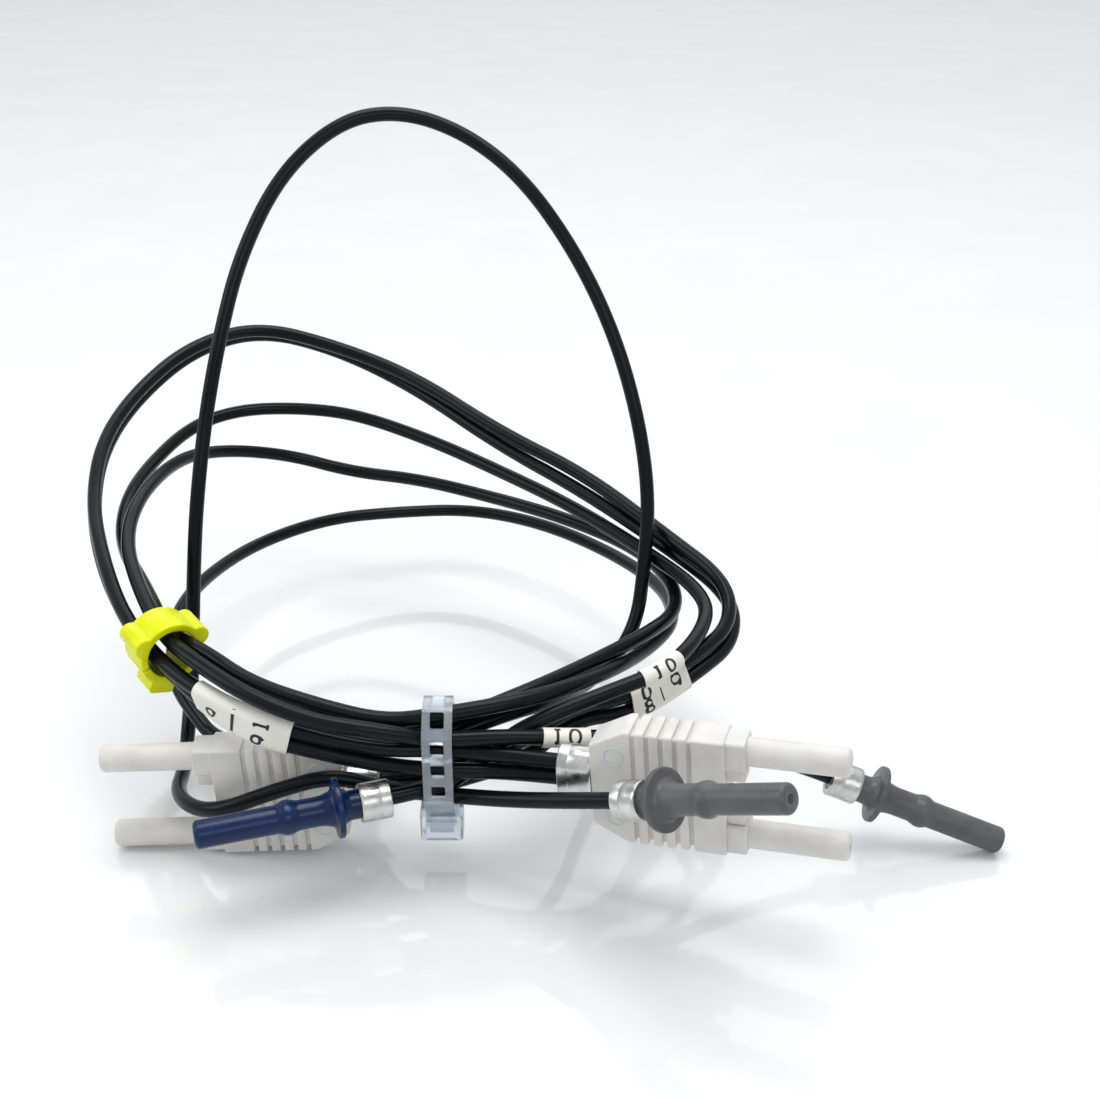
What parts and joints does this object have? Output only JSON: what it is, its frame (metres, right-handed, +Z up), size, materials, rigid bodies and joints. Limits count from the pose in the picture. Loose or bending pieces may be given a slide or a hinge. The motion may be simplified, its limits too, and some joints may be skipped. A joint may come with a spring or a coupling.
{
  "type": "optical fibre patch lead bundle",
  "caption": "Tied coil of black plastic-optical-fibre patch leads with snap-in round and twin-ferrule plugs, number sleeves, a ladder tie and a hinged clip.",
  "frame": {"origin": "middle of the footprint, at the table", "axes": "+X to the right along the coil's long side, +Y away from the front where the tie is, +Z up"},
  "size_m": [0.1395, 0.1214, 0.0912],
  "materials": {
    "black_jacket": "satin",
    "fibre_core": "gloss",
    "grey_plastic": "satin",
    "blue_plastic": "gloss",
    "white_plastic": "satin",
    "crimp_metal": "brushed",
    "clear_nylon": "gloss",
    "yellow_plastic": "gloss",
    "label_film": "matte"
  },
  "bodies": {
    "bundle": {"upper_lead": "black_jacket", "lower_lead": "black_jacket", "long_lead": "black_jacket", "tall_lead": "black_jacket", "front_grey_plug": "grey_plastic", "front_grey_ring": "crimp_metal", "front_grey_fibre": "fibre_core", "side_grey_plug": "grey_plastic", "side_grey_ring": "crimp_metal", "side_grey_fibre": "fibre_core", "front_blue_plug": "blue_plastic", "front_blue_ring": "crimp_metal", "front_blue_fibre": "fibre_core", "rear_blue_plug": "blue_plastic", "rear_blue_ring": "crimp_metal", "rear_blue_fibre": "fibre_core", "left_twin_plug": "white_plastic", "left_twin_ring": "crimp_metal", "left_twin_upper_fibre": "fibre_core", "left_twin_lower_fibre": "fibre_core", "right_twin_plug": "white_plastic", "right_twin_ring": "crimp_metal", "right_twin_upper_fibre": "fibre_core", "right_twin_lower_fibre": "fibre_core", "left_pair_label": "label_film", "right_pair_label": "label_film", "front_label": "label_film", "side_label": "label_film", "ladder_tie": "clear_nylon", "clip_ring": "yellow_plastic"},
    "pawl": {"tie_pawl": "clear_nylon"},
    "clip_latch": {"clip_arm": "yellow_plastic"}
  },
  "joints": [
    {"name": "pawl_release", "type": "hinge", "parent": "bundle", "child": "pawl", "pos_m": [-0.01, -0.0321, 0.00705], "axis": [1, 0, 0], "range_deg": [0, 12], "stiffness_Nm_per_rad": 0.0005},
    {"name": "clip_opening", "type": "hinge", "parent": "bundle", "child": "clip_latch", "pos_m": [-0.05322, -0.02052, 0.02498], "axis": [-0.6129, 0.7837, 0.1005], "range_deg": [0, 60], "stiffness_Nm_per_rad": 0.002}
  ]
}
